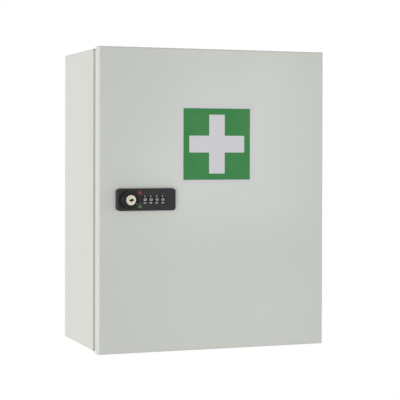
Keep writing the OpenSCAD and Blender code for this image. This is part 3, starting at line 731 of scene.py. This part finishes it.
# one numeral, cut in strips and stood in front of the wheel's axis, then turned to its place
def addNumeral(text, settings, axis, radius, angle):
    deselectAll()
    bpy.ops.object.text_add(location=(0, 0, 0))
    numeral = bpy.context.object
    numeral.data.body = text
    numeral.data.size = settings["size"]
    numeral.data.offset = settings["bold"]
    numeral.data.resolution_u = settings["curveSteps"]
    bpy.ops.object.convert(target="MESH")
    across = [vertex.co.x for vertex in numeral.data.vertices]
    up = [vertex.co.y for vertex in numeral.data.vertices]
    editPiece(numeral)
    moveBy(-(min(across) + max(across)) / 2, -(min(up) + max(up)) / 2, 0)
    bpy.ops.transform.resize(value=(settings["widen"], 1, 1), center_override=(0, 0, 0))
    bpy.ops.mesh.remove_doubles(threshold=mergeDistance)
    for i in range(-settings["cuts"], settings["cuts"] + 1):
        bpy.ops.mesh.select_all(action="SELECT")
        bpy.ops.mesh.bisect(plane_co=(0, i * settings["strip"], 0), plane_no=(0, 1, 0))
    bpy.ops.mesh.select_all(action="SELECT")
    turnAbout("X", 90)
    moveBy(axis[0], axis[1] - radius, axis[2])
    turnAbout("X", -angle, axis)
    finishEdit()
    return numeral


# a ring of numerals rolled round the first wheel's axis, and a copy of it on each other wheel
def addWheelNumerals(settings):
    low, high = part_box("dial_wheel_1")
    axis = middle(low, high)
    radius = (high[2] - low[2]) / 2
    numerals = [addNumeral(str(k), settings, axis, radius, 360 / settings["count"] * k)
                for k in range(settings["count"])]
    ring = joinPieces(numerals, "wheelNumerals_1")
    bpy.ops.object.empty_add(location=axis, rotation=(0, math.pi / 2, 0))
    guide = bpy.context.object
    bpy.context.view_layer.update()
    roll = ring.modifiers.new("roll", "CAST")
    roll.cast_type = "CYLINDER"
    roll.object = guide
    roll.use_transform = True
    roll.use_radius_as_size = False
    roll.use_z = False
    roll.factor = 1.0
    roll.size = radius - settings["sink"]
    pick(ring)
    bpy.ops.object.modifier_apply(modifier=roll.name)
    bpy.data.objects.remove(guide)
    thicken(ring, settings["thickness"])
    rings = [ring]
    for i in range(2, settings["wheels"] + 1):
        pick(ring)
        bpy.ops.object.duplicate(linked=False)
        copied = bpy.context.object
        copied.name = copied.data.name = "wheelNumerals_%d" % i
        editPiece(copied)
        moveBy(middle(*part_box("dial_wheel_%d" % i))[0] - axis[0], 0, 0)
        finishEdit()
        rings.append(copied)
    return rings


padlockSettings = {
    "closed": {"rise": 8.45 * mm, "lift": 0.0, "aside": 0.0},
    "open": {"rise": -9.1 * mm, "lift": 0.9 * mm, "aside": 0.3 * mm},
    "fromLeft": 30.6 * mm,    # from the lock's left end to the middle of a padlock
    "plate": (4.4 * mm, 3.5 * mm),
    "corner": 0.55 * mm,
    "cornerSteps": 3,
    "band": 0.8,              # width of the rounded edge band, as a share of the corner
    "rim": 1.25 * mm,         # leaves the keyhole bare
    "shackle": 1.5 * mm,      # outside radius of the bow
    "wire": 0.62,             # inside radius as a share of the outside one
    "facets": 24,             # of a full circle
    "leg": 0.6 * mm,
    "sink": 0.02 * mm,
    "thickness": 0.07 * mm,
}


# one padlock drawn flat and upright, then stood up against the lock's face
def addPadlock(name, kind, settings):
    place = settings[kind]
    width, height = settings["plate"]
    deselectAll()
    bpy.ops.mesh.primitive_plane_add(size=1, location=(0, 0, 0))
    plate = bpy.context.object
    editPiece(plate)
    bpy.ops.transform.resize(value=(width, height, 1), center_override=(0, 0, 0))
    bpy.ops.mesh.bevel(offset=settings["corner"], segments=settings["cornerSteps"], affect="VERTICES")
    bpy.ops.mesh.select_all(action="SELECT")
    band = settings["band"] * settings["corner"]
    bpy.ops.mesh.inset(thickness=band)
    hole = [(side / 2 - settings["rim"]) / (side / 2 - band) for side in (width, height)]
    bpy.ops.transform.resize(value=(*hole, 1), center_override=(0, 0, 0))
    bpy.ops.mesh.delete(type="FACE")
    finishEdit()

    radius = settings["shackle"]
    deselectAll()
    bpy.ops.mesh.primitive_circle_add(vertices=settings["facets"], radius=radius, location=(0, 0, 0))
    bow = bpy.context.object
    editPiece(bow)
    bpy.ops.mesh.extrude_region()
    bpy.ops.transform.resize(value=(settings["wire"],) * 3, center_override=(0, 0, 0))
    bpy.ops.mesh.select_all(action="SELECT")
    bpy.ops.mesh.bisect(plane_co=(0, 0, 0), plane_no=(0, 1, 0), clear_inner=True)
    finishEdit()
    leg = settings["leg"] + place["lift"]
    for vertex in bow.data.vertices:
        vertex.select = abs(vertex.co.y) < mergeDistance
    editEnds(bow)
    bpy.ops.mesh.extrude_region()
    moveBy(0, -leg, 0)
    bpy.ops.mesh.select_all(action="SELECT")
    moveBy(place["aside"], height / 2 + leg, 0)
    finishEdit()

    faceUp(plate)
    faceUp(bow)
    padlock = joinPieces([plate, bow], name)
    low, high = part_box("lock_housing")
    editPiece(padlock)
    turnAbout("X", 90)
    moveBy(low[0] + settings["fromLeft"], low[1] + settings["sink"], (low[2] + high[2]) / 2 + place["rise"])
    finishEdit()
    thicken(padlock, settings["thickness"] + settings["sink"])
    return padlock


pointerSettings = {
    "radius": 9.3 * mm,       # of its middle, from the knob's axis
    "angle": -33,             # degrees from the X axis, towards the green padlock
    "length": 2.2 * mm,
    "width": (1.1 * mm, 0.6 * mm),   # at its inner and its outer end
    "cuts": 9,
    "above": 4.0 * mm,        # in front of the knob, before it is laid on
    "thickness": 0.05 * mm,
}


# short tapered line laid over the rounded front edge of the knob
def addPointer(name, settings):
    low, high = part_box("knob")
    axis = middle(low, high)
    deselectAll()
    bpy.ops.mesh.primitive_plane_add(size=1, location=(0, 0, 0))
    pointer = bpy.context.object
    wide, narrow = settings["width"]
    for vertex in pointer.data.vertices:
        vertex.select = vertex.co.x > 0
    editEnds(pointer)
    bpy.ops.transform.resize(value=(1, narrow / wide, 1), center_override=(0, 0, 0))
    bpy.ops.mesh.select_all(action="SELECT")
    bpy.ops.transform.resize(value=(settings["length"], wide, 1), center_override=(0, 0, 0))
    bpy.ops.mesh.subdivide(number_cuts=settings["cuts"])
    moveBy(settings["radius"], 0, 0)
    turnAbout("Z", settings["angle"])
    turnAbout("X", 90)
    moveBy(axis[0], low[1] - settings["above"], axis[2])
    finishEdit()
    pointer.name = pointer.data.name = name
    pick(pointer)
    lay = pointer.modifiers.new("lay", "SHRINKWRAP")
    lay.target = nodes["knob"]
    lay.wrap_method = "PROJECT"
    lay.use_project_y = True
    lay.use_positive_direction = True
    lay.use_negative_direction = False
    lay.wrap_mode = "ON_SURFACE"
    bpy.ops.object.modifier_apply(modifier=lay.name)
    thicken(pointer, settings["thickness"])
    return pointer


prints = {name: makePrint(name, values, printWear) for name, values in printSettings.items()}
for number, ring in enumerate(addWheelNumerals(numeralSettings), start=1):
    finishPiece(ring, prints["numeralWhite"], "dial_%d" % number)
finishPiece(addPadlock("redPadlock", "closed", padlockSettings), prints["markRed"], "door")
finishPiece(addPadlock("greenPadlock", "open", padlockSettings), prints["markGreen"], "door")
finishPiece(addPointer("knobPointer", pointerSettings), prints["pointerGrey"], "knob_group")
print("marks: numerals on 4 wheels, 2 padlocks and the knob's pointer")
